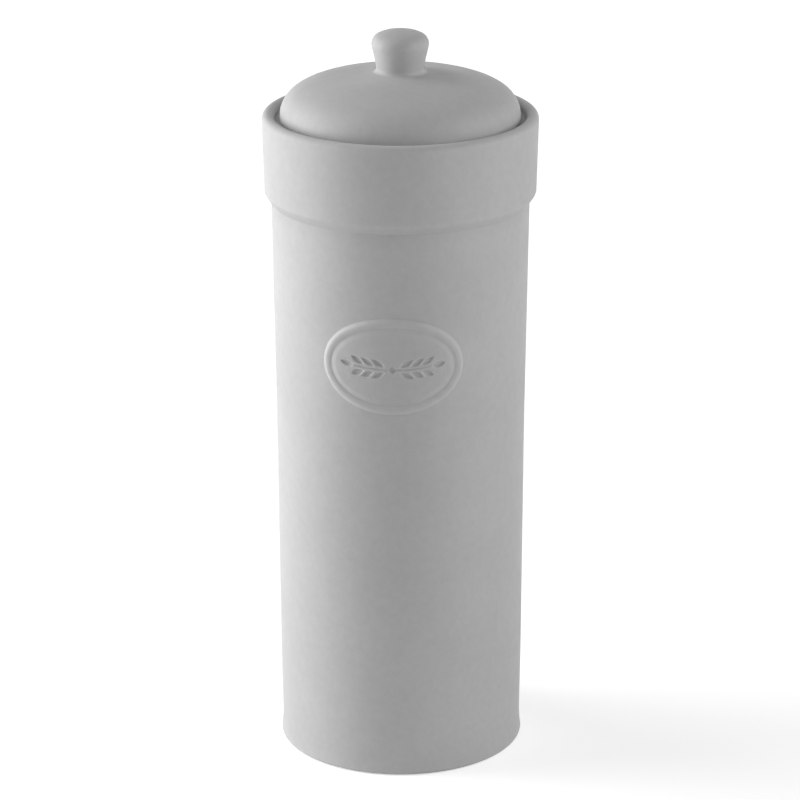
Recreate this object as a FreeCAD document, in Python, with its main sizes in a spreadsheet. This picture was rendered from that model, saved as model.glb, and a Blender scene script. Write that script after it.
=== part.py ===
import FreeCAD, Part
import Sketcher

import math
import os
import re

# A tall round food canister: a ceramic jar, a domed ceramic lid that drops into the jar's collar, and an
# elastic ring round the lid's neck. Millimetres and degrees. The origin is the centre of the foot, +Z points
# up, and the oval faces -Y.

DIMENSIONS = {
    # Jar, outside
    "foot_radius": 52.25,
    "foot_round": 1.6,
    "foot_ring_width": 5.7,
    "foot_ring_round": 0.8,
    "base_recess": 2.0,
    "neck_radius": 51.3,
    "neck_height": 11.0,
    "hip_radius": 51.8,
    "hip_height": 36.0,
    "waist_radius": 52.45,
    "waist_height": 145.0,
    "shoulder_radius": 53.85,
    "collar_base": 239.4,
    "collar_foot_radius": 56.75,
    "collar_foot_height": 243.75,
    "collar_round": 6.0,
    "collar_radius": 57.5,
    "rim_height": 276.7,
    "rim_width": 5.4,
    # Jar, inside
    "floor_height": 7.0,
    "floor_radius": 45.6,
    "floor_round": 6.0,
    "mouth_radius": 46.4,
    "ledge_height": 273.3,
    "ledge_round": 0.6,
    # Raised oval on the jar's front: a plate that carries a bead all round and a low field within
    "oval_height": 182.95,
    "oval_half_width": 29.2,
    "oval_half_height": 21.5,
    "plate_inset": 1.1,
    "plate_relief": 0.85,
    "plate_round": 0.6,
    "bead_inset": 2.1,
    "bead_width": 2.1,
    "bead_relief": 1.3,
    "bead_round": 0.3,
    "field_inset": 6.4,
    "field_relief": 1.2,
    # Lid, outside: three arcs make the dome, their turns are measured from the horizontal
    "lid_radius": 49.93,
    "lid_round": 1.2,
    "dome_base": 275.2,
    "edge_bend": 12.5,
    "edge_turn": 51.7,
    "dome_bend": 21.4,
    "dome_turn": 73.65,
    # Knob
    "knob_radius": 11.97,
    "knob_height": 305.8,
    "knob_bend": 4.4,
    "knob_turn": 74.0,
    "knob_taper": 13.2,
    "knob_fillet": 1.8,
    # Lid, inside: the hollow of the dome, and the neck with the groove for the ring
    "lid_wall": 6.5,
    "hollow_edge": 280.5,
    "hollow_round": 6.0,
    "plug_radius": 44.0,
    "plug_wall": 4.5,
    "plug_foot": 254.5,
    "plug_round": 1.2,
    "groove_depth": 2.0,
    "groove_low": 258.5,
    "groove_high": 265.5,
    # Elastic ring: a band in the groove, with fins that lean up and out to the jar's wall
    "ring_gap": 0.3,
    "band_wall": 1.6,
    "fin_count": 3,
    "fin_root": 1.1,
    "fin_tip": 0.5,
    "fin_rise": 0.9,
    "fin_gap": 0.45,
}

# The inner side of the foot ring
FOOT_INNER = "(foot_radius - foot_ring_width)"

# Places on the lid that more than one of its outlines needs: where the dome's arcs meet, and its top
DOME_EDGE_R = "(lid_radius - edge_bend * (1 - cos(edge_turn)))"
DOME_EDGE_Z = "(dome_base + edge_bend * sin(edge_turn))"
CROWN_R = f"({DOME_EDGE_R} + dome_bend * (cos(dome_turn) - cos(edge_turn)))"
CROWN_Z = f"({DOME_EDGE_Z} + dome_bend * (sin(dome_turn) - sin(edge_turn)))"
CROWN_BEND = f"({CROWN_R} / cos(dome_turn))"
DOME_TOP = f"({CROWN_Z} + {CROWN_BEND} * (1 - sin(dome_turn)))"

SHEET = "Size"
FULL_TURN = 360
CUBIC_CENTIMETRE = 1000

# Names that a sketch gives to its origin, its axes and the points of a curve
SKETCH_ORIGIN = (-1, 1)
LEVEL_AXIS = -1
UPRIGHT_AXIS = -2
START = 1
END = 2
CENTRE = 3

# Tolerances for finding points and edges by their place
SAME_POINT = 1e-6
LEVEL_TOLERANCE = 0.001
RELIEF_TOLERANCE = 0.01
EDGE_SAMPLES = 12

doc = FreeCAD.newDocument("food_canister")


def fill_sheet():
    """The driving dimensions, one row each: the name, and the value under that name as its alias."""
    sheet = doc.addObject("Spreadsheet::Sheet", SHEET)
    for row, (alias, number) in enumerate(DIMENSIONS.items(), start=1):
        sheet.set(f"A{row}", alias)
        sheet.set(f"B{row}", str(number))
        sheet.setAlias(f"B{row}", alias)
    doc.recompute()
    return sheet


size = fill_sheet()


def expression(words):
    """Points every dimension in the words at the sheet. Only their names have an underscore."""
    return re.sub(r"\b[a-z]+(?:_[a-z]+)+\b", lambda name: f"{SHEET}.{name.group()}", words)


def value(words):
    """The words' value, in millimetres or degrees."""
    return float(size.evalExpression(expression(words)))


def new_body(label):
    """An empty piece at the canister's origin. Outlines are drawn where the piece is when the lid is on."""
    body = doc.addObject("PartDesign::Body", label)
    body.Label = label
    body.Placement = FreeCAD.Placement()
    return body


def upright_sketch(body, name):
    """A sketch on the upright plane through the axis. Its x is the radius, its y the height; it faces -Y."""
    plane = next(item for item in body.Origin.OriginFeatures if item.Role == "XZ_Plane")
    sketch = body.newObject("Sketcher::SketchObject", name)
    sketch.AttachmentSupport = (plane, "")
    sketch.MapMode = "FlatFace"
    return sketch


def bind(sketch, kind, words, *where):
    """Gives a sketch a measure that follows the sheet."""
    index = sketch.addConstraint(Sketcher.Constraint(kind, *where, value(words)))
    sketch.setExpression(f"Constraints[{index}]", expression(words))


def hold(sketch, kind, *where):
    """Gives a sketch a constraint that has no measure."""
    sketch.addConstraint(Sketcher.Constraint(kind, *where))


class Outline:
    """A closed outline drawn anticlockwise from corner to corner. Corners and bends follow the sheet."""

    def __init__(self, body, name, radius, height):
        self.sketch = upright_sketch(body, name)
        self.first_words = (radius, height)
        self.here = self.corner(radius, height)
        self.tail = None
        self.head = None

    def corner(self, radius, height):
        return FreeCAD.Vector(value(radius), value(height), 0)

    def place(self, point, radius, height):
        """Fixes one end of a run at a corner."""
        if value(radius) == 0:
            hold(self.sketch, "PointOnObject", *point, UPRIGHT_AXIS)
        else:
            bind(self.sketch, "DistanceX", radius, *SKETCH_ORIGIN, *point)
        if value(height) == 0:
            hold(self.sketch, "PointOnObject", *point, LEVEL_AXIS)
        else:
            bind(self.sketch, "DistanceY", height, *SKETCH_ORIGIN, *point)

    def add(self, curve, end):
        """Adds a run that starts where the last one ended, and ties the two together."""
        run = self.sketch.addGeometry(curve)
        forward = self.sketch.getPoint(run, START).isEqual(self.here, SAME_POINT)
        near, far = (START, END) if forward else (END, START)
        if self.tail is None:
            self.head = (run, near)
            self.place(self.head, *self.first_words)
        else:
            hold(self.sketch, "Coincident", *self.tail, run, near)
        self.tail = (run, far)
        self.here = end
        return run

    def line(self, radius, height):
        """A straight run to the next corner."""
        end = self.corner(radius, height)
        self.add(Part.LineSegment(self.here, end), end)
        self.place(self.tail, radius, height)

    def arc(self, radius, height, bend, hollow=False):
        """A round run to the next corner. It bulges out of the solid, or into it where it is hollow."""
        end = self.corner(radius, height)
        chord = end - self.here
        outward = FreeCAD.Vector(chord.y, -chord.x, 0).normalize()
        rise = value(bend) - math.sqrt(value(bend) ** 2 - (chord.Length / 2) ** 2)
        middle = (self.here + end) * 0.5 + outward * (-rise if hollow else rise)
        run = self.add(Part.Arc(self.here, middle, end), end)
        self.place(self.tail, radius, height)
        bind(self.sketch, "Radius", bend, run)

    def close(self):
        """A straight run back to the first corner."""
        end = self.corner(*self.first_words)
        self.add(Part.LineSegment(self.here, end), end)
        hold(self.sketch, "Coincident", *self.tail, *self.head)
        return self.sketch


def turn(body, kind, name, sketch):
    """Turns an outline once round the axis, to add a solid or to cut one away."""
    feature = body.newObject(f"PartDesign::{kind}", name)
    feature.Profile = sketch
    feature.ReferenceAxis = (sketch, ["V_Axis"])
    feature.Angle = FULL_TURN


def ring_edge(shape, radius, height):
    """The name of the edge that runs level round the axis, nearest to a corner of the outline."""
    def is_ring(edge):
        return not edge.Degenerated and edge.isClosed() and edge.BoundBox.ZLength < LEVEL_TOLERANCE

    def distance(numbered):
        point = numbered[1].Vertexes[0].Point
        return math.hypot(math.hypot(point.x, point.y) - value(radius), point.z - value(height))

    rings = [numbered for numbered in enumerate(shape.Edges, start=1) if is_ring(numbered[1])]
    number, _ = min(rings, key=distance)
    return f"Edge{number}"


def round_off(body, name, edges, radius):
    base = body.Tip
    fillet = body.newObject("PartDesign::Fillet", name)
    fillet.Base = (base, edges)
    fillet.setExpression("Radius", expression(radius))
    doc.recompute()


def round_rings(body, name, corners, radius):
    """Rounds the circular edges at the given corners."""
    doc.recompute()
    shape = body.Tip.Shape
    round_off(body, name, [ring_edge(shape, *corner) for corner in corners], radius)


def jar_blank(body):
    """The jar's outside as a solid: foot, body with its slight taper, and collar with its round rim."""
    flare = "(foot_radius - neck_radius)"
    flare_rise = "(neck_height - foot_round)"
    flare_bend = f"({flare_rise} ^ 2 + {flare} ^ 2) / (2 * {flare})"
    outline = Outline(body, "jar_outside", "0", "base_recess")
    outline.line(FOOT_INNER, "base_recess")
    outline.line(FOOT_INNER, "0")
    outline.line("foot_radius - foot_round", "0")
    outline.arc("foot_radius", "foot_round", "foot_round")
    outline.arc("neck_radius", "neck_height", flare_bend, hollow=True)
    outline.line("hip_radius", "hip_height")
    outline.line("waist_radius", "waist_height")
    outline.line("shoulder_radius", "collar_base")
    outline.line("collar_foot_radius", "collar_foot_height")
    outline.line("collar_radius", "rim_height - rim_width / 2")
    outline.arc("collar_radius - rim_width / 2", "rim_height", "rim_width / 2")
    outline.arc("collar_radius - rim_width", "rim_height - rim_width / 2", "rim_width / 2")
    outline.line("0", "rim_height - rim_width / 2")
    turn(body, "Revolution", "jar_blank", outline.close())
    round_rings(body, "collar_rounding", [("collar_foot_radius", "collar_foot_height")], "collar_round")


def ellipses(body, name, insets):
    """A sketch of the oval's outline, once for each inset from its outer edge."""
    sketch = upright_sketch(body, name)
    for inset in insets:
        half_width = f"(oval_half_width - ({inset}))"
        half_height = f"(oval_half_height - ({inset}))"
        centre = FreeCAD.Vector(0, value("oval_height"), 0)
        curve = sketch.addGeometry(Part.Ellipse(centre, value(half_width), value(half_height)))
        sketch.exposeInternalGeometry(curve)
        long_axis = curve + 1
        short_axis = curve + 2
        hold(sketch, "Horizontal", long_axis)
        hold(sketch, "PointOnObject", curve, CENTRE, UPRIGHT_AXIS)
        bind(sketch, "DistanceY", "oval_height", *SKETCH_ORIGIN, curve, CENTRE)
        bind(sketch, "Distance", f"2 * {half_width}", long_axis)
        bind(sketch, "Distance", f"2 * {half_height}", short_axis)
    return sketch


def trim_to_relief(body, name, relief):
    """Cuts away what stands further out of the body's upper taper than the relief."""
    clear_radius = "2 * collar_radius"
    outline = Outline(body, f"{name}_outline", f"waist_radius + {relief}", "waist_height")
    outline.line(clear_radius, "waist_height")
    outline.line(clear_radius, "collar_base")
    outline.line(f"shoulder_radius + {relief}", "collar_base")
    turn(body, "Groove", name, outline.close())


def relief_edges(shape, relief):
    """The edges round the top of a raised shape: all their points stand out of the taper by the relief."""
    def surface(height):
        share = (height - value("waist_height")) / (value("collar_base") - value("waist_height"))
        return value("waist_radius") + share * (value("shoulder_radius") - value("waist_radius"))

    def stands_out(point):
        return math.hypot(point.x, point.y) - surface(point.z)

    def on_top(edge):
        points = edge.discretize(EDGE_SAMPLES)
        return all(abs(stands_out(point) - value(relief)) < RELIEF_TOLERANCE for point in points)

    return [f"Edge{number}" for number, edge in enumerate(shape.Edges, start=1) if on_top(edge)]


def raise_oval(body, name, insets, relief):
    """A raised shape with the oval's outline, its top parallel to the body's surface."""
    pad = body.newObject("PartDesign::Pad", name)
    pad.Profile = ellipses(body, f"{name}_outline", insets)
    pad.setExpression("Length", expression("collar_radius"))
    trim_to_relief(body, f"{name}_trim", relief)
    doc.recompute()


def hollow_out(body):
    """The storage space, and above it the wider bore of the collar with the ledge that carries the lid."""
    bore = "collar_radius - rim_width"
    outline = Outline(body, "jar_inside", "0", "floor_height")
    outline.line("floor_radius", "floor_height")
    outline.line("mouth_radius", "ledge_height")
    outline.line(bore, "ledge_height")
    outline.line(bore, "rim_height - rim_width / 2")
    outline.line("0", "rim_height - rim_width / 2")
    turn(body, "Groove", "jar_hollow", outline.close())
    ledge_corners = [("mouth_radius", "ledge_height"), (bore, "ledge_height")]
    round_rings(body, "ledge_rounding", ledge_corners, "ledge_round")
    round_rings(body, "floor_rounding", [("floor_radius", "floor_height")], "floor_round")


def make_jar():
    body = new_body("jar")
    jar_blank(body)
    raise_oval(body, "oval_plate", ["plate_inset"], "plate_relief")
    round_off(body, "plate_rounding", relief_edges(body.Tip.Shape, "plate_relief"), "plate_round")
    raise_oval(body, "oval_field", ["field_inset"], "field_relief")
    raise_oval(body, "oval_bead", ["bead_inset", "bead_inset + bead_width"], "bead_relief")
    round_off(body, "bead_rounding", relief_edges(body.Tip.Shape, "bead_relief"), "bead_round")
    hollow_out(body)
    ring_corners = [(FOOT_INNER, "0"), (FOOT_INNER, "base_recess")]
    round_rings(body, "foot_ring_rounding", ring_corners, "foot_ring_round")
    return body


def lid_cover(body):
    """The dome, hollow below, and the neck with its groove."""
    hollow_r = "(plug_radius - plug_wall)"
    hollow_top = f"{DOME_TOP} - lid_wall"
    hollow_rise = f"({hollow_top} - hollow_edge)"
    hollow_bend = f"({hollow_r} ^ 2 + {hollow_rise} ^ 2) / (2 * {hollow_rise})"
    groove_r = "plug_radius - groove_depth"

    outline = Outline(body, "lid_outline", "0", hollow_top)
    outline.arc(hollow_r, "hollow_edge", hollow_bend, hollow=True)
    outline.line(hollow_r, "plug_foot")
    outline.line("plug_radius", "plug_foot")
    outline.line("plug_radius", "groove_low")
    outline.line(groove_r, "groove_low")
    outline.line(groove_r, "groove_high")
    outline.line("plug_radius", "groove_high")
    outline.line("plug_radius", "ledge_height")
    outline.line("lid_radius", "ledge_height")
    outline.line("lid_radius", "dome_base")
    outline.arc(DOME_EDGE_R, DOME_EDGE_Z, "edge_bend")
    outline.arc(CROWN_R, CROWN_Z, "dome_bend")
    outline.arc("0", DOME_TOP, CROWN_BEND)
    turn(body, "Revolution", "lid_cover", outline.close())
    round_rings(body, "hollow_rounding", [(hollow_r, "hollow_edge")], "hollow_round")
    round_rings(body, "plug_rounding", [(hollow_r, "plug_foot"), ("plug_radius", "plug_foot")], "plug_round")
    round_rings(body, "lid_edge_rounding", [("lid_radius", "ledge_height")], "lid_round")


def lid_knob(body):
    """The knob: it widens upwards, has a rounded rim and a low crown, and blends into the dome."""
    stem_r = "(knob_radius - knob_bend * (1 - cos(knob_taper)))"
    stem_z = "(knob_height - knob_bend * sin(knob_taper))"
    root_z = f"({DOME_TOP} - lid_wall / 2)"
    root_r = f"({stem_r} - ({stem_z} - {root_z}) * tan(knob_taper))"
    crown_r = "(knob_radius - knob_bend * (1 - cos(knob_turn)))"
    crown_z = "(knob_height + knob_bend * sin(knob_turn))"
    crown_bend = f"({crown_r} / cos(knob_turn))"

    outline = Outline(body, "knob_outline", "0", root_z)
    outline.line(root_r, root_z)
    outline.line(stem_r, stem_z)
    outline.arc(crown_r, crown_z, "knob_bend")
    outline.arc("0", f"{crown_z} + {crown_bend} * (1 - sin(knob_turn))", crown_bend)
    turn(body, "Revolution", "knob", outline.close())
    round_rings(body, "knob_blend", [(root_r, DOME_TOP)], "knob_fillet")


def make_lid():
    body = new_body("lid")
    lid_cover(body)
    lid_knob(body)
    return body


def make_seal():
    """The elastic ring, drawn at the size to which the jar's mouth presses it."""
    body = new_body("seal")
    inner = "plug_radius - groove_depth + ring_gap"
    outer = f"{inner} + band_wall"
    tip = "mouth_radius - fin_gap"
    low = "groove_low + ring_gap"
    high = "groove_high - ring_gap"
    pitch = f"({high} - ({low}) - fin_rise) / fin_count"

    outline = Outline(body, "seal_outline", inner, low)
    outline.line(outer, low)
    for number in range(DIMENSIONS["fin_count"]):
        root = f"{low} + {pitch} * ({number} + 0.5) - fin_root / 2"
        outline.line(outer, root)
        outline.line(tip, f"{root} + fin_rise")
        outline.line(tip, f"{root} + fin_rise + fin_tip")
        outline.line(outer, f"{root} + fin_root")
    outline.line(outer, high)
    outline.line(inner, high)
    turn(body, "Revolution", "seal_ring", outline.close())
    return body


def check(bodies):
    """Stops where a feature failed or a piece isn't one sound solid."""
    doc.recompute()
    for item in doc.Objects:
        if {"Invalid", "Error"} & set(item.State):
            raise RuntimeError(f"{item.Name} failed: {item.State}")
    for body in bodies:
        shape = body.Shape
        if shape.isNull() or not shape.isValid() or len(shape.Solids) != 1:
            raise RuntimeError(f"{body.Label} is not one sound solid")
        print(f"{body.Label}: {shape.Volume / CUBIC_CENTIMETRE:.1f} cm3")


def export(bodies):
    os.makedirs("parts", exist_ok=True)
    for body in bodies:
        body.Shape.exportStep(f"parts/{body.Label}.step")


pieces = [make_jar(), make_lid(), make_seal()]
check(pieces)
export(pieces)
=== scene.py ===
import math

import bpy
import numpy as np
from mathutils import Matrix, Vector


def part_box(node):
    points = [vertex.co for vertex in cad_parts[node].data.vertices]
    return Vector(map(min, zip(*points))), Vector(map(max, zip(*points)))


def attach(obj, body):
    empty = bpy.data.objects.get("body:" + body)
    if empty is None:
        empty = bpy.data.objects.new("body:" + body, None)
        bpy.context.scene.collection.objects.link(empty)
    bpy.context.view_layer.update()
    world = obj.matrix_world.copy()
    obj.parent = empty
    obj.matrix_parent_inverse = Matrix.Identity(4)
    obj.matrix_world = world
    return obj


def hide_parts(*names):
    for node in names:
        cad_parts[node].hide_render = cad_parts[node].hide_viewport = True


# A tall round food canister: a matt ceramic jar with a raised oval, a domed lid that drops into its collar,
# and the elastic ring round the lid's neck. Shapes are drawn in millimetres, with the origin at the centre
# of the foot, +Z up and the oval facing -Y.

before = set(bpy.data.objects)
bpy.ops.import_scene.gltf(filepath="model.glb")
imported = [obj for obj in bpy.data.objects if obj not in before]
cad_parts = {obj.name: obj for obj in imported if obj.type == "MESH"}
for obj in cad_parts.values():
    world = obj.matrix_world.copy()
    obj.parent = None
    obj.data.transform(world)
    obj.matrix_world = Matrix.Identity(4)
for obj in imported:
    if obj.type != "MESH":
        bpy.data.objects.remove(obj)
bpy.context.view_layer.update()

MM = 0.001


def box_mm(node):
    """A node's lowest and highest corners in millimetres."""
    low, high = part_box(node)
    return np.array(low) / MM, np.array(high) / MM


_, jar_high = box_mm("jar")
lid_low, lid_high = box_mm("lid")
seal_low, seal_high = box_mm("seal")

# Jar, outside
RIM_HEIGHT = jar_high[2]
RIM_WIDTH = 5.4
RIM_ROUND = 2.6
COLLAR_DEPTH = 37.3
COLLAR_TAPER = 0.85
COLLAR_RADIUS = jar_high[0]
COLLAR_FOOT_RADIUS = COLLAR_RADIUS - COLLAR_TAPER
COLLAR_BASE = RIM_HEIGHT - COLLAR_DEPTH
BEVEL_HEIGHT = 4.0
COLLAR_FOOT_HEIGHT = COLLAR_BASE + BEVEL_HEIGHT
COLLAR_ROUND = 2.5
CREASE_ROUND = 0.35
SHOULDER_RADIUS = 53.85
WAIST_RADIUS = 52.45
WAIST_HEIGHT = 145.0
WAIST_ROUND = 2500.0
HIP_RADIUS = 51.8
HIP_HEIGHT = 36.0
HIP_ROUND = 1500.0
NECK_RADIUS = 51.3
NECK_HEIGHT = 6.28
NECK_ROUND = 53.0
FOOT_RADIUS = 52.25
FOOT_ROUND = 1.6
FOOT_RING_WIDTH = 5.7
FOOT_RING_ROUND = 0.8
BASE_RECESS = 2.0

# Jar, inside
BORE_RADIUS = COLLAR_RADIUS - RIM_WIDTH
LEDGE_DEPTH = 3.4
LEDGE_HEIGHT = RIM_HEIGHT - LEDGE_DEPTH
LEDGE_ROUND = 0.6
MOUTH_RADIUS = 46.4
JAR_FLOOR_HEIGHT = 7.0
JAR_FLOOR_RADIUS = 45.6
JAR_FLOOR_ROUND = 6.0

# Oval, measured along the wall. Its section is given as depths inside the outline and heights over the wall:
# the foot, the crest of the bead, the bottom of the groove, and the field
OVAL_HEIGHT = 182.95
OVAL_HALF_WIDTH = 30.2
OVAL_HALF_HEIGHT = 20.9
OVAL_MARGIN = 1.5
OVAL_SECTION = np.array(((0.0, 0.0), (2.2, 1.15), (4.1, 0.78), (6.6, 1.1)))

# Two stretches of that section by number, and the share of the oval that is all field
BEAD_RISE = 0
FIELD_WALL = 2
OVAL_MIDDLE = 0.5

# A pair of wheat ears sunk into the field, which meet at a round tie
EAR_DEPTH = 0.8
EAR_SOFTNESS = 1.0
EAR_PAIRS = 3
EAR_START = 5.8
EAR_PITCH = 4.2
EAR_TIP = 18.6
EAR_SAG = 1.1
EAR_REACH = 20.0
KERNEL_LENGTH = 6.6
KERNEL_WIDTH = 3.0
KERNEL_LEAN = math.radians(27.0)
KERNEL_SPREAD = 2.6
STEM_WIDTH = 1.2
TIE_RADIUS = 1.7

# Lid, outside: the dome and the knob's cap turn from upright to level, with bends given at some turns
LID_RADIUS = lid_high[0]
LID_ROUND = 1.2
DOME_BELOW_RIM = 1.5
DOME_BASE = RIM_HEIGHT - DOME_BELOW_RIM
DOME_BENDS = ((0.0, 12.35), (50.0, 12.9), (70.0, 35.0), (80.0, 148.0), (90.0, 148.0))
KNOB_RADIUS = 11.95
KNOB_CAP = 5.65
KNOB_HEIGHT = lid_high[2] - KNOB_CAP
KNOB_BENDS = ((0.0, 4.2), (55.0, 4.18), (72.0, 17.37), (90.0, 34.0))
KNOB_TAPER = 13.2
KNOB_FILLET = 1.8
FILLET_REACH = 1.5 * KNOB_FILLET
UPRIGHT = 90.0

# Lid, inside
LID_WALL = 6.5
HOLLOW_EDGE = 280.5
HOLLOW_ROUND = 6.0
PLUG_FOOT = lid_low[2]
PLUG_RADIUS = 44.0
PLUG_WALL = 4.5
PLUG_ROUND = 1.2
GROOVE_DEPTH = 2.0
GROOVE_LOW = 258.5
GROOVE_HIGH = 265.5
GROOVE_ROUND = 0.35

# Elastic ring
SEAL_LOW = seal_low[2]
SEAL_HIGH = seal_high[2]
SEAL_GAP = 0.3
SEAL_INNER = PLUG_RADIUS - GROOVE_DEPTH + SEAL_GAP
BAND_WALL = 1.6
BAND_ROUND = 0.25
FIN_COUNT = 3
FIN_ROOT = 1.1
FIN_TIP = 0.5
FIN_RISE = 0.9
FIN_TIP_RADIUS = seal_high[0]
FIN_ROUND = 0.2

# A pot that is cast and finished by hand is never quite round: share of the radius, and its waves as
# (waves round the pot, start, height in millimetres over which they shift, weight)
UNEVENNESS = 0.0012
WAVES = ((2, 0.6, 90.0, 0.5), (3, -1.1, -55.0, 0.3), (5, 2.2, 35.0, 0.2))

# Spacing of the meshes along the profiles and round the axis. A stretch below the shortest one, or with an
# endless step, gets no points of its own, and points closer than the last distance are one
FIELD_STEP = 0.25
LONG_STEP = 3.0
CURVE_STEP = 1.5
UNDIVIDED = math.inf
SUPPORT = 0.25
SHORTEST_STRETCH = 4 * SUPPORT
ARC_STEP = math.radians(7.5)
TURN_COUNT = 400
REAR_STEP = math.radians(2.0)
RING_COUNT = 240
SAME_PLACE = 1e-7

# Finishes, in the order of a piece's material slots
GLAZE = 0
INSIDE = 1
BARE = 2

# Colours
GLAZE_GREY = (0.6, 0.6, 0.6)
CLAY = (0.56, 0.53, 0.48)
SILICONE = (0.66, 0.66, 0.63)
WHITE = (1.0, 1.0, 1.0, 1.0)
FLOOR_GREY = (0.9, 0.9, 0.9, 1.0)

# The mesh attribute that tells edges from hollows for painted highlights and painted shade, its range, and
# how a mark spreads to the rows beside it
EDGE = "edge"
EDGE_RANGE = (-1.0, 1.0)
EDGE_SPREAD = (0.1, 0.2, 0.4, 0.2, 0.1)

# The ranges in which noise and its dark specks vary, and the weight of the outer glaze's fine dents
NOISE_RANGE = (0.3, 0.7)
SPECK_RANGE = (0.28, 0.4)
FINE_DENTS = 0.35

# Studio, in metres, degrees and watts: softboxes as name, azimuth, elevation and power
AMBIENT = 0.12
BACKDROP = 1.0
FLOOR_OWN_WHITE = (0.54, 0.88)
FLOOR_WHITE_REACH = (0.35, 1.2)
FLOOR_SIZE = 12.0
FLOOR_GAP = 0.0002
LIGHT_TARGET = (0.0, 0.0, 0.16)
SOFTBOXES = (
    ("left_softbox", -89.0, 8.0, 15.9),
    ("left_high_softbox", -103.0, 40.0, 6.2),
    ("right_softbox", 76.0, 25.0, 8.3),
    ("front_softbox", 0.0, 8.0, 0.9),
)
SOFTBOX_SIZE = 0.9
SOFTBOX_DISTANCE = 1.4

# Camera
VIEW_AZIMUTH = 3.75
VIEW_ELEVATION = 18.99
VIEW_DISTANCE = 1.5897
VIEW_ROLL = -0.1
VIEW_TARGET = (-0.0003, 0.0, 0.1506)
SENSOR = 36.0
LENS = 168.66


class Profile:
    """Half of a round piece's section, drawn with the solid on its left, as corners that may be rounded."""

    def __init__(self):
        self.corners = []

    def to(self, radius, height, rounding=0.0, finish=GLAZE, step=LONG_STEP):
        """The next corner. The finish and the spacing are those of the stretch that follows it."""
        place = np.array((radius, height), float)
        if self.corners and np.linalg.norm(place - self.corners[-1][0]) < SAME_PLACE:
            self.corners.pop()
        self.corners.append((place, rounding, finish, step))

    def arc(self, centre, bend, first, last, finish=GLAZE):
        """Corners along an arc, from one angle to another in degrees."""
        count = math.ceil(bend * math.radians(abs(last - first)) / CURVE_STEP)
        for angle in np.linspace(first, last, count + 1):
            radius, height = centre + bend * direction(angle)
            self.to(radius, height, finish=finish, step=UNDIVIDED)

    def curve(self, points):
        """Corners along a curve, at even distances."""
        along = lengths(points)
        count = math.ceil(along[-1] / CURVE_STEP)
        for distance in np.linspace(0.0, along[-1], count + 1):
            radius = np.interp(distance, along, points[:, 0])
            height = np.interp(distance, along, points[:, 1])
            self.to(radius, height, step=UNDIVIDED)

    def bend(self, number):
        """The points that stand for one corner, and its curvature: convex above 0, hollow below."""
        corner, rounding = self.corners[number][:2]
        if rounding == 0.0:
            return [corner], 0.0
        before = corner - self.corners[number - 1][0]
        after = self.corners[number + 1][0] - corner
        before /= np.linalg.norm(before)
        after /= np.linalg.norm(after)
        left = np.array((-before[1], before[0]))
        turn = math.atan2(left @ after, before @ after)
        side = math.copysign(1.0, turn)
        start = corner - before * rounding * math.tan(abs(turn) / 2)
        centre = start + left * side * rounding
        count = max(2, math.ceil(abs(turn) / ARC_STEP), math.ceil(abs(turn) * rounding / CURVE_STEP))
        points = [
            centre + rounding * (before * math.sin(angle) - left * side * math.cos(angle))
            for angle in np.linspace(0.0, abs(turn), count + 1)
        ]
        return points, side / rounding

    def rows(self):
        """All points of the profile with their finishes and curvatures."""
        points = []
        finishes = []
        curves = []
        bends = [self.bend(number) for number in range(len(self.corners))]
        for number, (bend, curve) in enumerate(bends):
            _, _, finish, step = self.corners[number]
            points += bend
            curves += [curve] * len(bend)
            if number + 1 < len(bends):
                between = straight(bend[-1], bends[number + 1][0][0], step)
                points += between
                curves += [0.0] * len(between)
            finishes += [finish] * (len(points) - len(finishes))
        return np.array(points), np.array(finishes), np.array(curves)


def straight(start, end, step):
    """Points between two others: one close to each end, which keeps the shading flat, and more between."""
    length = np.linalg.norm(end - start)
    if length < SHORTEST_STRETCH or step == UNDIVIDED:
        return []
    inner = np.linspace(SUPPORT, length - SUPPORT, max(2, math.ceil(length / step)))
    return [start + (end - start) * distance / length for distance in inner]


def lengths(points):
    """How far along a line each of its points lies."""
    return np.concatenate(([0.0], np.cumsum(np.linalg.norm(np.diff(points, axis=0), axis=1))))


def direction(degrees):
    """A unit step at an angle from the level."""
    return np.array((math.cos(math.radians(degrees)), math.sin(math.radians(degrees))))


def turning(radius, height, bends):
    """A curve that starts upright and turns until it is level on the axis, its bend changing as it turns."""
    turns = np.radians([turn for turn, _ in bends])
    sizes = [size for _, size in bends]
    turn = np.linspace(0.0, turns[-1], TURN_COUNT)
    bend = np.exp(np.interp(turn, turns, np.log(sizes)))
    way = np.stack((-np.sin(turn), np.cos(turn)), axis=-1) * bend[:, None]
    points = np.cumsum((way[1:] + way[:-1]) / 2 * np.diff(turn)[:, None], axis=0)
    points[:, 0] *= -radius / points[-1, 0]
    return np.concatenate(([(0.0, 0.0)], points)) + (radius, height)


def wall_radius(height):
    """The jar's outer radius on the taper between its waist and its collar."""
    share = (height - WAIST_HEIGHT) / (COLLAR_BASE - WAIST_HEIGHT)
    return WAIST_RADIUS + share * (SHOULDER_RADIUS - WAIST_RADIUS)


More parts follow.
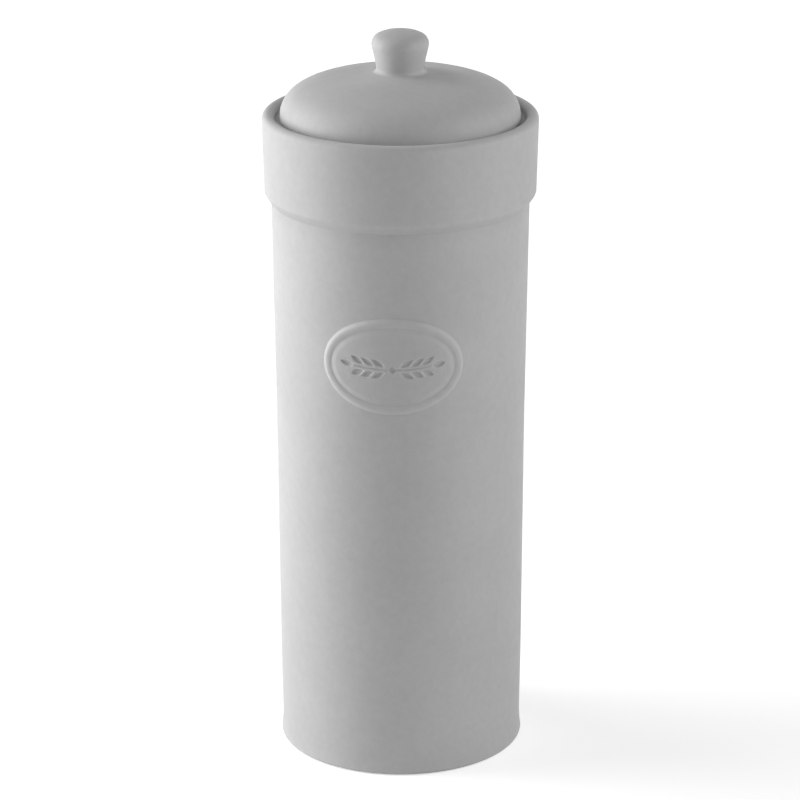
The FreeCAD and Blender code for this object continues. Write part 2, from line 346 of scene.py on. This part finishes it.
def jar_profile():
    """From the middle of the base, out and up over the rim, and down inside to the middle of the floor."""
    foot_inner = FOOT_RADIUS - FOOT_RING_WIDTH
    oval_low = OVAL_HEIGHT - OVAL_HALF_HEIGHT - OVAL_MARGIN
    oval_high = OVAL_HEIGHT + OVAL_HALF_HEIGHT + OVAL_MARGIN

    profile = Profile()
    profile.to(0.0, BASE_RECESS)
    profile.to(foot_inner, BASE_RECESS, FOOT_RING_ROUND, BARE)
    profile.to(foot_inner, 0.0, FOOT_RING_ROUND, BARE)
    profile.to(FOOT_RADIUS, 0.0, FOOT_ROUND)
    profile.to(NECK_RADIUS, NECK_HEIGHT, NECK_ROUND)
    profile.to(HIP_RADIUS, HIP_HEIGHT, HIP_ROUND)
    profile.to(WAIST_RADIUS, WAIST_HEIGHT, WAIST_ROUND)
    profile.to(wall_radius(oval_low), oval_low, step=FIELD_STEP)
    profile.to(wall_radius(oval_high), oval_high)
    profile.to(SHOULDER_RADIUS, COLLAR_BASE, CREASE_ROUND)
    profile.to(COLLAR_FOOT_RADIUS, COLLAR_FOOT_HEIGHT, COLLAR_ROUND)
    profile.to(COLLAR_RADIUS, RIM_HEIGHT, RIM_ROUND)
    profile.to(BORE_RADIUS, RIM_HEIGHT, RIM_ROUND)
    profile.to(BORE_RADIUS, LEDGE_HEIGHT, LEDGE_ROUND)
    profile.to(MOUTH_RADIUS, LEDGE_HEIGHT, LEDGE_ROUND, INSIDE)
    profile.to(JAR_FLOOR_RADIUS, JAR_FLOOR_HEIGHT, JAR_FLOOR_ROUND, INSIDE)
    profile.to(0.0, JAR_FLOOR_HEIGHT)
    return profile


def lid_hollow(profile, dome_top):
    """The vault under the dome, from its middle down to the foot of the neck."""
    hollow_radius = PLUG_RADIUS - PLUG_WALL
    rise = dome_top - LID_WALL - HOLLOW_EDGE
    bend = (hollow_radius ** 2 + rise ** 2) / (2 * rise)
    centre = np.array((0.0, HOLLOW_EDGE + rise - bend))
    edge = math.degrees(math.acos((hollow_radius - HOLLOW_ROUND) / bend))
    profile.arc(centre, bend, UPRIGHT, edge, finish=INSIDE)
    profile.to(hollow_radius, HOLLOW_EDGE, HOLLOW_ROUND, INSIDE)
    profile.to(hollow_radius, PLUG_FOOT, PLUG_ROUND, INSIDE)


def lid_neck(profile):
    """The neck's outside with the groove for the ring, and the flat edge that rests on the ledge."""
    groove_radius = PLUG_RADIUS - GROOVE_DEPTH
    profile.to(PLUG_RADIUS, PLUG_FOOT, PLUG_ROUND)
    profile.to(PLUG_RADIUS, GROOVE_LOW, GROOVE_ROUND)
    profile.to(groove_radius, GROOVE_LOW, GROOVE_ROUND)
    profile.to(groove_radius, GROOVE_HIGH, GROOVE_ROUND)
    profile.to(PLUG_RADIUS, GROOVE_HIGH, GROOVE_ROUND)
    profile.to(PLUG_RADIUS, LEDGE_HEIGHT, GROOVE_ROUND)
    profile.to(LID_RADIUS, LEDGE_HEIGHT, LID_ROUND)


def lid_profile():
    """From the middle of the vault, down inside the neck, up its outside, over the dome and up the knob."""
    dome = turning(LID_RADIUS, DOME_BASE, DOME_BENDS)
    dome_top = dome[-1, 1]
    lip_bend = KNOB_BENDS[0][1]
    lip_centre = np.array((KNOB_RADIUS - lip_bend, KNOB_HEIGHT))
    stem_top = lip_centre + lip_bend * direction(-KNOB_TAPER)
    root_radius = stem_top[0] - (stem_top[1] - dome_top) * math.tan(math.radians(KNOB_TAPER))
    root_height = np.interp(root_radius, dome[::-1, 0], dome[::-1, 1])

    profile = Profile()
    lid_hollow(profile, dome_top)
    lid_neck(profile)
    profile.curve(dome[dome[:, 0] > root_radius + FILLET_REACH])
    profile.to(root_radius, root_height, KNOB_FILLET)
    profile.arc(lip_centre, lip_bend, -KNOB_TAPER, 0.0)
    profile.curve(turning(KNOB_RADIUS, KNOB_HEIGHT, KNOB_BENDS))
    return profile


def seal_profile():
    """A band with fins that lean up and out to the jar's wall, as a closed section."""
    outer = SEAL_INNER + BAND_WALL
    pitch = (SEAL_HIGH - SEAL_LOW - FIN_RISE) / FIN_COUNT
    middle = (SEAL_LOW + SEAL_HIGH) / 2

    profile = Profile()
    profile.to(SEAL_INNER, middle)
    profile.to(SEAL_INNER, SEAL_LOW, BAND_ROUND)
    profile.to(outer, SEAL_LOW, BAND_ROUND)
    for number in range(FIN_COUNT):
        root = SEAL_LOW + pitch * (number + 0.5) - FIN_ROOT / 2
        profile.to(outer, root, FIN_ROUND / 2)
        profile.to(FIN_TIP_RADIUS, root + FIN_RISE, FIN_ROUND)
        profile.to(FIN_TIP_RADIUS, root + FIN_RISE + FIN_TIP, FIN_ROUND)
        profile.to(outer, root + FIN_ROOT, FIN_ROUND / 2)
    profile.to(outer, SEAL_HIGH, BAND_ROUND)
    profile.to(SEAL_INNER, SEAL_HIGH, BAND_ROUND)
    profile.to(SEAL_INNER, middle)
    return profile


def smooth(share):
    """An S-shaped rise from 0 to 1."""
    share = np.clip(share, 0.0, 1.0)
    return share * share * (3.0 - 2.0 * share)


def kernel_distance(along, across):
    """How far points are outside a pointed grain that lies along the first axis."""
    half_length = KERNEL_LENGTH / 2
    half_width = KERNEL_WIDTH / 2
    bend = (half_length ** 2 + half_width ** 2) / (2 * half_width)
    return np.hypot(along, np.abs(across) + bend - half_width) - bend


def ear_distance(x, z):
    """How far points are outside the pair of wheat ears, which is mirrored at the middle of the oval."""
    along = np.abs(x)
    across = z - EAR_SAG * (2.0 * (along / EAR_REACH) ** 2 - 1.0)
    stem_overshoot = np.maximum(along - EAR_TIP, 0.0)
    distance = np.hypot(stem_overshoot, across) - STEM_WIDTH / 2
    distance = np.minimum(distance, np.hypot(along, across) - TIE_RADIUS)
    distance = np.minimum(distance, kernel_distance(along - EAR_TIP, across))
    for number in range(EAR_PAIRS):
        forward = along - EAR_START - number * EAR_PITCH
        outward = np.abs(across) - KERNEL_SPREAD
        lean_along = forward * math.cos(KERNEL_LEAN) + outward * math.sin(KERNEL_LEAN)
        lean_across = outward * math.cos(KERNEL_LEAN) - forward * math.sin(KERNEL_LEAN)
        distance = np.minimum(distance, kernel_distance(lean_along, lean_across))
    return distance


def inside_oval(x, z):
    """How far points are inside the oval's outline. Far from it a lower bound is enough."""
    scaled = np.hypot(x / OVAL_HALF_WIDTH, z / OVAL_HALF_HEIGHT)
    steepness = np.hypot(x / OVAL_HALF_WIDTH ** 2, z / OVAL_HALF_HEIGHT ** 2)
    in_middle = scaled < OVAL_MIDDLE
    near_outline = scaled * (1.0 - scaled) / np.where(in_middle, 1.0, steepness)
    return np.where(in_middle, OVAL_MIDDLE * OVAL_HALF_HEIGHT, near_outline)


def oval_relief(x, z):
    """How far the oval stands out of the jar's wall, at places along and above its middle. The bead's sides
    are level at its crest and steeper away from it, and the wall up to the field is an S."""
    inside = inside_oval(x, z)
    depths, heights = OVAL_SECTION.T
    stretch = np.clip(np.searchsorted(depths, inside) - 1, 0, len(depths) - 2)
    share = np.clip((inside - depths[stretch]) / np.diff(depths)[stretch], 0.0, 1.0)
    round_bead = share * np.where(stretch == BEAD_RISE, 2.0 - share, share)
    way = np.where(stretch < FIELD_WALL, round_bead, smooth(share))
    section = heights[stretch] + np.diff(heights)[stretch] * way
    ears = EAR_DEPTH * smooth(-ear_distance(x, z) / EAR_SOFTNESS)
    return section - ears


def jar_angles():
    """Directions round the jar, measured from the front: close together across the oval, wider behind."""
    limit = (OVAL_HALF_WIDTH + OVAL_MARGIN) / WAIST_RADIUS
    front_count = math.ceil(2 * limit * WAIST_RADIUS / FIELD_STEP)
    rear_count = math.ceil((math.tau - 2 * limit) / REAR_STEP)
    front = np.linspace(-limit, limit, front_count + 1)
    rear = np.linspace(limit, math.tau - limit, rear_count + 1)
    return np.concatenate((front, rear[1:-1]))


def ring_angles():
    """Even directions round a piece that has no relief."""
    return np.linspace(0.0, math.tau, RING_COUNT, endpoint=False)


def unevenness(angle, height):
    """The share of its radius by which a hand-finished pot falls short of round, never below 0."""
    wave = sum(
        weight * np.sin(count * angle + start + height / shift)
        for count, start, shift, weight in WAVES
    )
    return UNEVENNESS * (1.0 + wave) / 2


def relief_on(points, angle):
    """The oval's relief for every point of the jar: rows follow the profile, columns the angles."""
    radius = points[:, :1]
    along = radius * angle
    above = np.broadcast_to(points[:, 1:] - OVAL_HEIGHT, along.shape)
    reach = OVAL_HALF_HEIGHT + OVAL_MARGIN
    on_outside = (radius > NECK_RADIUS) & (np.abs(above) <= reach)
    return np.where(on_outside, oval_relief(along, above), 0.0)


def lathe(name, profile, angle, materials, relief=None, waves=0.0):
    """A piece turned round the axis, with the oval's relief and a share of a pot's waves where asked for."""
    points, finishes, curves = profile.rows()
    stands_out = np.zeros((len(points), len(angle))) if relief is None else relief(points, angle)
    radius = points[:, :1] * (1.0 - waves * unevenness(angle, points[:, 1:])) + stands_out
    height = np.broadcast_to(points[:, 1:], radius.shape)
    places = np.stack((radius * np.sin(angle), -radius * np.cos(angle), height), axis=-1)
    edges = shade_and_highlight_marks(points, curves, stands_out, angle)
    piece = bpy.data.objects.new(name, turned_mesh(name, places * MM, edges, finishes))
    for material in materials:
        piece.data.materials.append(material)
    bpy.context.scene.collection.objects.link(piece)
    return piece


def turned_mesh(name, places, edges, finishes):
    """A mesh from rows of points that run round the axis. A row on the axis is one point, and a section
    whose last row is its first again is closed."""
    row_count, column_count = places.shape[:2]
    on_axis = np.hypot(places[:, 0, 0], places[:, 0, 1]) < SAME_PLACE
    closed = np.linalg.norm(places[0, 0] - places[-1, 0]) < SAME_PLACE
    kept = np.ones((row_count, column_count), bool)
    kept[on_axis, 1:] = False
    kept[-1] &= not closed
    numbers = np.cumsum(kept.ravel()).reshape(kept.shape) - 1
    numbers[on_axis] = numbers[on_axis, :1]
    if closed:
        numbers[-1] = numbers[0]

    faces = []
    face_finishes = []
    for lower, upper, finish in zip(numbers[:-1], numbers[1:], finishes):
        for corners in zip(lower, np.roll(lower, -1), np.roll(upper, -1), upper):
            faces.append(list(dict.fromkeys(corners)))
            face_finishes.append(finish)

    mesh = bpy.data.meshes.new(name)
    mesh.from_pydata(places[kept].tolist(), [], faces)
    mesh.polygons.foreach_set("material_index", face_finishes)
    mesh.attributes.new(EDGE, "FLOAT", "POINT").data.foreach_set("value", edges[kept])
    mesh.shade_smooth()
    return mesh


def shade_and_highlight_marks(points, curves, stands_out, angle):
    """How edge-like each point is, for painted highlights on edges and painted shade in hollows: 1 on a
    sharp edge, -1 in a tight hollow, 0 on the flat.
    """
    along = lengths(points)
    around = angle * WAIST_RADIUS
    bulge = np.gradient(np.gradient(stands_out, along, axis=0), along, axis=0)
    bulge += np.gradient(np.gradient(stands_out, around, axis=1), around, axis=1)
    spread = np.convolve(curves, EDGE_SPREAD, mode="same")
    return np.clip(spread[:, None] - bulge, *EDGE_RANGE)


class Shader:
    """A material's nodes, with short ways to add and join them."""

    def __init__(self, name):
        self.material = bpy.data.materials.new(name)
        self.material.use_nodes = True
        self.tree = self.material.node_tree
        self.surface = self.tree.nodes["Principled BSDF"]
        self.place = self.add("ShaderNodeTexCoord").outputs["Object"]

    def add(self, kind, inputs=None, **settings):
        """A node. Inputs are numbers, or outputs of other nodes, by the socket's name or number."""
        node = self.tree.nodes.new(kind)
        for setting, word in settings.items():
            setattr(node, setting, word)
        for socket, entry in (inputs or {}).items():
            self.feed(node.inputs[socket], entry)
        return node

    def feed(self, socket, entry):
        """Joins a socket to another node's output, or sets it to a number or a colour."""
        if isinstance(entry, bpy.types.NodeSocket):
            self.tree.links.new(entry, socket)
        else:
            socket.default_value = entry

    def noise(self, size, detail=2.0):
        """Clouds of about a size in millimetres, mostly within the range of noise."""
        inputs = {"Vector": self.place, "Scale": 1.0 / (size * MM), "Detail": detail}
        return self.add("ShaderNodeTexNoise", inputs).outputs["Fac"]

    def spread(self, cause, low, high, cause_range=NOISE_RANGE):
        """Carries the range of a cause over to the range from low to high."""
        inputs = {
            "Value": cause,
            "From Min": cause_range[0],
            "From Max": cause_range[1],
            "To Min": low,
            "To Max": high,
        }
        return self.add("ShaderNodeMapRange", inputs).outputs["Result"]

    def times(self, first, second):
        """Two numbers multiplied."""
        return self.add("ShaderNodeMath", {0: first, 1: second}, operation="MULTIPLY").outputs["Value"]

    def plus(self, first, second):
        """Two numbers added."""
        return self.add("ShaderNodeMath", {0: first, 1: second}, operation="ADD").outputs["Value"]

    def edge(self):
        """1 on edges and -1 in hollows, as the mesh says: the cause of painted highlights and painted shade.
        """
        return self.add("ShaderNodeAttribute", attribute_name=EDGE).outputs["Fac"]

    def tint(self, colour, tone):
        """A colour made paler or darker by a tone that varies over the surface."""
        scale = self.add("ShaderNodeVectorMath", {0: colour, "Scale": tone}, operation="SCALE")
        return scale.outputs["Vector"]

    def bump(self, height, depth):
        """Small dents, with their depth in millimetres."""
        return self.add("ShaderNodeBump", {"Height": height, "Distance": depth * MM}).outputs["Normal"]

    def finish(self, inputs):
        """Sets the surface's own sockets and gives back the material."""
        for socket, entry in inputs.items():
            self.feed(self.surface.inputs[socket], entry)
        return self.material


def matt_glaze():
    """The soft matt glaze outside: a cloudy grey with fine grain, with painted shade in hollows and a
    painted highlight on edges.
    """
    shader = Shader("matt_grey_glaze")
    clouds = shader.spread(shader.noise(size=34.0, detail=3.0), low=0.975, high=1.025)
    mottle = shader.spread(shader.noise(size=3.2), low=0.98, high=1.02)
    grain = shader.spread(shader.noise(size=0.9), low=0.985, high=1.015)
    # Tone lighter on edges and darker in hollows, the oval's groove and the sunk ears: painted highlight and
    # painted shade
    edges = shader.spread(shader.edge(), low=0.93, high=1.05, cause_range=EDGE_RANGE)
    tone = shader.times(shader.times(clouds, mottle), shader.times(grain, edges))
    broad_dents = shader.noise(size=5.0)
    fine_dents = shader.times(shader.noise(size=0.7, detail=3.0), FINE_DENTS)
    return shader.finish({
        "Base Color": shader.tint(GLAZE_GREY, tone),
        "Roughness": shader.spread(shader.noise(size=7.0), low=0.5, high=0.6),
        "Specular IOR Level": 0.25,
        "Normal": shader.bump(shader.plus(broad_dents, fine_dents), depth=0.09),
    })


def inner_glaze():
    """The smoother glaze inside, which wipes clean."""
    shader = Shader("satin_inner_glaze")
    clouds = shader.spread(shader.noise(size=28.0, detail=3.0), low=0.97, high=1.03)
    # Tone lighter on edges and darker in hollows: painted highlight and painted shade
    edges = shader.spread(shader.edge(), low=0.92, high=1.06, cause_range=EDGE_RANGE)
    return shader.finish({
        "Base Color": shader.tint(GLAZE_GREY, shader.times(clouds, edges)),
        "Roughness": shader.spread(shader.noise(size=9.0), low=0.3, high=0.38),
        "Normal": shader.bump(shader.noise(size=6.0), depth=0.07),
    })


def bare_clay():
    """The foot ring, wiped free of glaze: dry and gritty, with dark specks."""
    shader = Shader("bare_stoneware")
    clouds = shader.spread(shader.noise(size=6.0, detail=4.0), low=0.9, high=1.06)
    specks = shader.spread(shader.noise(size=0.6), low=0.72, high=1.0, cause_range=SPECK_RANGE)
    return shader.finish({
        "Base Color": shader.tint(CLAY, shader.times(clouds, specks)),
        "Roughness": shader.spread(shader.noise(size=1.5), low=0.82, high=0.94),
        "Normal": shader.bump(shader.noise(size=0.5, detail=3.0), depth=0.12),
    })


def silicone():
    """The elastic ring: milky, slightly see-through at its fins, with a dusting of lint."""
    shader = Shader("milky_silicone")
    clouds = shader.spread(shader.noise(size=5.0), low=0.96, high=1.03)
    dust = shader.spread(shader.noise(size=0.4, detail=4.0), low=0.96, high=1.02)
    return shader.finish({
        "Base Color": shader.tint(SILICONE, shader.times(clouds, dust)),
        "Roughness": shader.spread(shader.noise(size=2.0), low=0.38, high=0.5),
        "Subsurface Weight": 0.35,
        "Subsurface Radius": (1.0, 1.0, 0.9),
        "Subsurface Scale": 1.5 * MM,
        "Normal": shader.bump(shader.noise(size=0.8), depth=0.02),
    })


def seen_directly(tree):
    """1 for what the camera sees itself, in a mirror or through glass, and 0 for light that spreads."""
    path = tree.nodes.new("ShaderNodeLightPath")
    kinds = ("Is Camera Ray", "Is Glossy Ray", "Is Transmission Ray")
    result = path.outputs[kinds[0]]
    for kind in kinds[1:]:
        either = tree.nodes.new("ShaderNodeMath")
        either.operation = "MAXIMUM"
        tree.links.new(result, either.inputs[0])
        tree.links.new(path.outputs[kind], either.inputs[1])
        result = either.outputs["Value"]
    return result


def make_world():
    """White where it is looked at, and a dimmer all-round light for the object."""
    world = bpy.data.worlds.new("studio")
    bpy.context.scene.world = world
    world.use_nodes = True
    tree = world.node_tree
    ambient = tree.nodes["Background"]
    ambient.inputs["Color"].default_value = WHITE
    ambient.inputs["Strength"].default_value = AMBIENT
    backdrop = tree.nodes.new("ShaderNodeBackground")
    backdrop.inputs["Color"].default_value = WHITE
    backdrop.inputs["Strength"].default_value = BACKDROP
    mix = tree.nodes.new("ShaderNodeMixShader")
    tree.links.new(seen_directly(tree), mix.inputs["Fac"])
    tree.links.new(ambient.outputs["Background"], mix.inputs[1])
    tree.links.new(backdrop.outputs["Background"], mix.inputs[2])
    tree.links.new(mix.outputs["Shader"], tree.nodes["World Output"].inputs["Surface"])


def floor_material():
    """A pale floor that looks white and keeps the shadow: a part of its white is its own and only seen, more
    of it far from the object, and the rest is lit."""
    shader = Shader("pale_floor")
    distance = shader.add("ShaderNodeVectorMath", {0: shader.place}, operation="LENGTH").outputs["Value"]
    own_white = shader.spread(distance, *FLOOR_OWN_WHITE, cause_range=FLOOR_WHITE_REACH)
    return shader.finish({
        "Base Color": FLOOR_GREY,
        "Roughness": 1.0,
        "Specular IOR Level": 0.0,
        "Emission Color": WHITE,
        "Emission Strength": shader.times(own_white, seen_directly(shader.tree)),
    })


def make_floor():
    """A wide level square, a little under the foot."""
    half = FLOOR_SIZE / 2
    corners = [(-half, -half, 0.0), (half, -half, 0.0), (half, half, 0.0), (-half, half, 0.0)]
    mesh = bpy.data.meshes.new("floor")
    mesh.from_pydata(corners, [], [(0, 1, 2, 3)])
    mesh.materials.append(floor_material())
    floor = bpy.data.objects.new("floor", mesh)
    floor.location.z = -FLOOR_GAP
    bpy.context.scene.collection.objects.link(floor)


def towards(azimuth, elevation):
    """A unit step from the object, at an azimuth from its front to its right and at an elevation."""
    turn = math.radians(azimuth)
    rise = math.radians(elevation)
    level = math.cos(rise)
    return Vector((math.sin(turn) * level, -math.cos(turn) * level, math.sin(rise)))


def aim(thing, place, target):
    """Puts a lamp or a camera at a place and points it at a target."""
    thing.location = place
    thing.rotation_euler = (Vector(target) - Vector(place)).to_track_quat("-Z", "Y").to_euler()
    bpy.context.scene.collection.objects.link(thing)


def make_softbox(name, azimuth, elevation, power):
    """A square lamp that faces the middle of the object."""
    lamp = bpy.data.lights.new(name, "AREA")
    lamp.size = SOFTBOX_SIZE
    lamp.energy = power
    place = Vector(LIGHT_TARGET) + towards(azimuth, elevation) * SOFTBOX_DISTANCE
    aim(bpy.data.objects.new(name, lamp), place, LIGHT_TARGET)


def make_camera():
    """A long lens, from a little above and almost straight at the oval."""
    camera = bpy.data.cameras.new("camera")
    camera.sensor_width = SENSOR
    camera.lens = LENS
    view = bpy.data.objects.new("camera", camera)
    place = Vector(VIEW_TARGET) + towards(VIEW_AZIMUTH, VIEW_ELEVATION) * VIEW_DISTANCE
    aim(view, place, VIEW_TARGET)
    view.rotation_euler.rotate_axis("Z", math.radians(VIEW_ROLL))
    bpy.context.scene.camera = view


def make_stage():
    """The backdrop, the floor, the lamps and the camera."""
    bpy.context.scene.view_settings.view_transform = "Standard"
    make_world()
    make_floor()
    for softbox in SOFTBOXES:
        make_softbox(*softbox)
    make_camera()


def make_pieces():
    """The three pieces, each in the place of its plain solid and on its body."""
    ceramic = [matt_glaze(), inner_glaze(), bare_clay()]
    jar = lathe("jar_pot", jar_profile(), jar_angles(), ceramic, relief=relief_on, waves=1.0)
    lid = lathe("lid_cover", lid_profile(), ring_angles(), ceramic[:2], waves=1.0)
    seal = lathe("seal_ring", seal_profile(), ring_angles(), [silicone()])
    for piece, node, slot in ((jar, "jar", "ceramic"), (lid, "lid", "ceramic"), (seal, "seal", "silicone")):
        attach(piece, node)
        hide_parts(node)


make_pieces()
make_stage()
